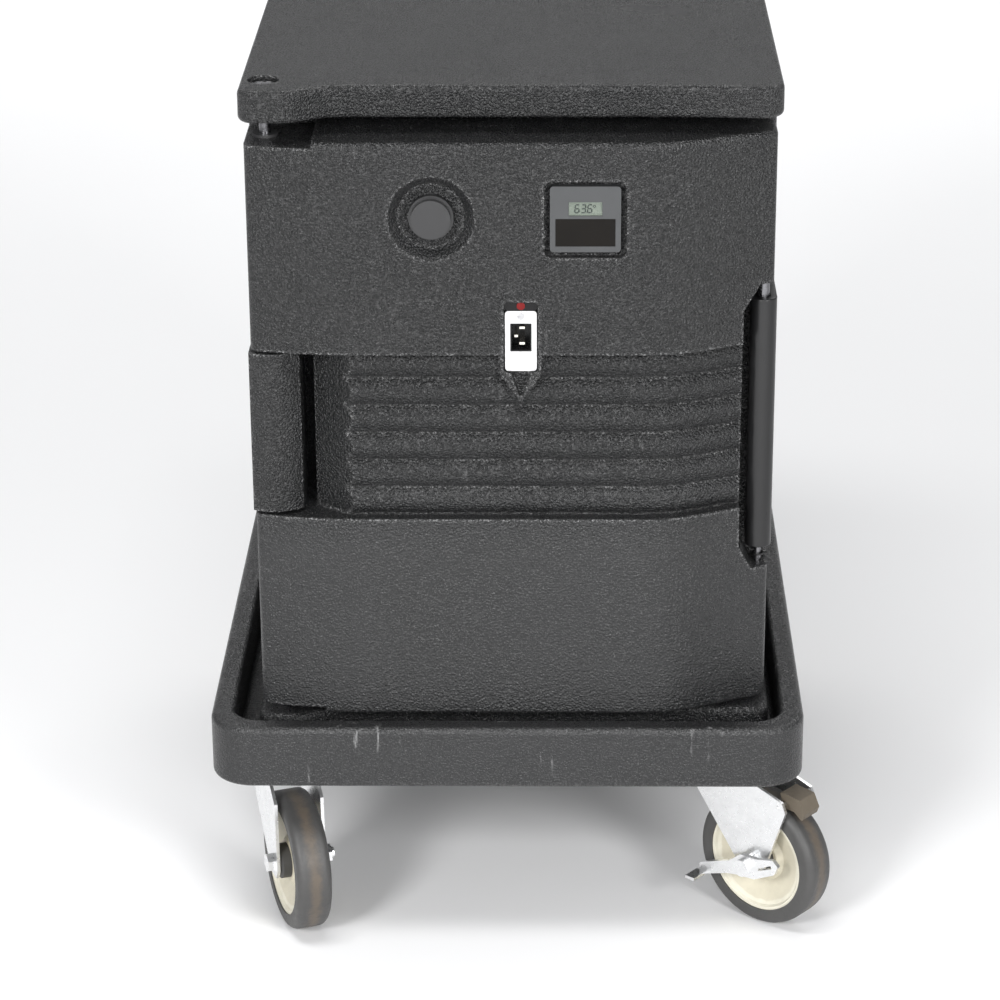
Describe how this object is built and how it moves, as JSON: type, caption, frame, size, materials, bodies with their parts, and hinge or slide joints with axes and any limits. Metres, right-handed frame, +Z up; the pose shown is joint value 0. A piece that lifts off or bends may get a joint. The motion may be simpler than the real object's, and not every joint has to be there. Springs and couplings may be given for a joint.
{
  "type": "insulated food pan carrier on dolly",
  "caption": "Black insulated front-loading pan carrier with a hinged heated door and side latch, standing in the tray of a wheeled dolly with swivel casters in front.",
  "frame": {"origin": "on the floor under the middle of the dolly's tray", "axes": "+Z up, +Y from the door towards the carrier's back, +X to the right seen from the front"},
  "size_m": [0.5522, 0.7179, 0.7885],
  "materials": {
    "shell": "satin",
    "foam": "matte",
    "rubber": "matte",
    "latch": "satin",
    "vent": "satin",
    "case": "satin",
    "display": "satin",
    "window": "gloss",
    "cell": "gloss",
    "steel": "satin",
    "dark_steel": "satin",
    "zinc": "satin",
    "bush": "satin",
    "inlet_metal": "satin",
    "inlet_black": "satin",
    "inlet_pins": "polished",
    "lamp": "gloss",
    "tyre": "matte",
    "hub": "satin",
    "bearing": "satin",
    "shoe": "matte"
  },
  "bodies": {
    "dolly": {"dolly_deck": "shell", "caster_plates": "zinc", "caster_bolts": "steel", "kingpin_front_left": "steel", "kingpin_front_right": "steel", "rigid_forks": "zinc", "rear_axles": "zinc", "rear_axle_nuts": "zinc"},
    "carrier": {"carrier_body": "shell", "carrier_foam": "foam", "foam_plug": "shell", "hinge_pins": "dark_steel"},
    "door": {"door_shell": "shell", "door_foam": "foam", "hinge_bushes": "bush", "door_gasket": "rubber", "thermometer_case": "case", "thermometer_display": "display", "thermometer_window": "window", "thermometer_probe": "steel", "solar_cell": "cell", "inlet_plate": "inlet_metal", "inlet_socket": "inlet_black", "inlet_pins": "inlet_pins", "inlet_screw": "steel", "inlet_spacer": "inlet_black", "lamp_bezel": "inlet_black", "pilot_lamp": "lamp", "heater_cover": "steel", "heater_element": "steel", "heater_thermostat": "inlet_black", "heater_screws": "steel", "latch_pin": "dark_steel", "latch_clip": "latch"},
    "latch": {"latch_bar": "latch", "latch_spring": "dark_steel"},
    "vent": {"vent_cap": "vent", "vent_seal": "rubber"},
    "swivel_front_left": {"fork_front_left": "zinc", "axle_front_left": "zinc", "axle_nut_front_left": "zinc"},
    "swivel_front_right": {"fork_front_right": "zinc", "axle_front_right": "zinc", "axle_nut_front_right": "zinc", "brake_pin": "zinc"},
    "brake_pedal": {"brake_pedal": "zinc"},
    "brake_shoe": {"brake_shoe": "shoe"},
    "wheel_front_left": {"tyre_front_left": "tyre", "hub_front_left": "hub", "bearing_front_left": "bearing"},
    "wheel_front_right": {"tyre_front_right": "tyre", "hub_front_right": "hub", "bearing_front_right": "bearing"},
    "wheel_rear_left": {"tyre_rear_left": "tyre", "hub_rear_left": "hub", "bearing_rear_left": "bearing"},
    "wheel_rear_right": {"tyre_rear_right": "tyre", "hub_rear_right": "hub", "bearing_rear_right": "bearing"}
  },
  "joints": [
    {"name": "carrier_lift", "type": "slide", "parent": "dolly", "child": "carrier", "axis": [0, 0, 1], "range_m": [0, 0.1]},
    {"name": "door_hinge", "type": "hinge", "parent": "carrier", "child": "door", "pos_m": [-0.2, -0.287, 0.486], "axis": [0, 0, -1], "range_deg": [0, 180]},
    {"name": "latch_turn", "type": "hinge", "parent": "door", "child": "latch", "pos_m": [0.22, -0.28, 0.482], "axis": [0, 0, -1], "range_deg": [0, 100]},
    {"name": "vent_pull", "type": "slide", "parent": "door", "child": "vent", "axis": [0, -1, 0], "range_m": [0, 0.012]},
    {"name": "swivel_front_left", "type": "hinge", "parent": "dolly", "child": "swivel_front_left", "pos_m": [-0.205, -0.262, 0.15], "axis": [0, 0, 1], "continuous": true},
    {"name": "swivel_front_right", "type": "hinge", "parent": "dolly", "child": "swivel_front_right", "pos_m": [0.205, -0.262, 0.15], "axis": [0, 0, 1], "continuous": true},
    {"name": "wheel_front_left_spin", "type": "hinge", "parent": "swivel_front_left", "child": "wheel_front_left", "pos_m": [-0.192, -0.29771, 0.0635], "axis": [0.9397, 0.342, 0], "continuous": true},
    {"name": "wheel_front_right_spin", "type": "hinge", "parent": "swivel_front_right", "child": "wheel_front_right", "pos_m": [0.23411, -0.28643, 0.0635], "axis": [0.6428, 0.766, 0], "continuous": true},
    {"name": "wheel_rear_left_spin", "type": "hinge", "parent": "dolly", "child": "wheel_rear_left", "pos_m": [-0.205, 0.262, 0.0635], "axis": [1, 0, 0], "continuous": true},
    {"name": "wheel_rear_right_spin", "type": "hinge", "parent": "dolly", "child": "wheel_rear_right", "pos_m": [0.205, 0.262, 0.0635], "axis": [1, 0, 0], "continuous": true},
    {"name": "brake_pedal_turn", "type": "hinge", "parent": "swivel_front_right", "child": "brake_pedal", "pos_m": [0.23411, -0.28643, 0.0635], "axis": [-0.6428, -0.766, 0], "range_deg": [0, 15]},
    {"name": "brake_shoe_turn", "type": "hinge", "parent": "swivel_front_right", "child": "brake_shoe", "pos_m": [0.25556, -0.30442, 0.128], "axis": [0.6428, 0.766, 0], "range_deg": [0, 15]}
  ],
  "couplings": [
    {"joint": "brake_shoe_turn", "follows": "brake_pedal_turn", "ratio": 1}
  ]
}
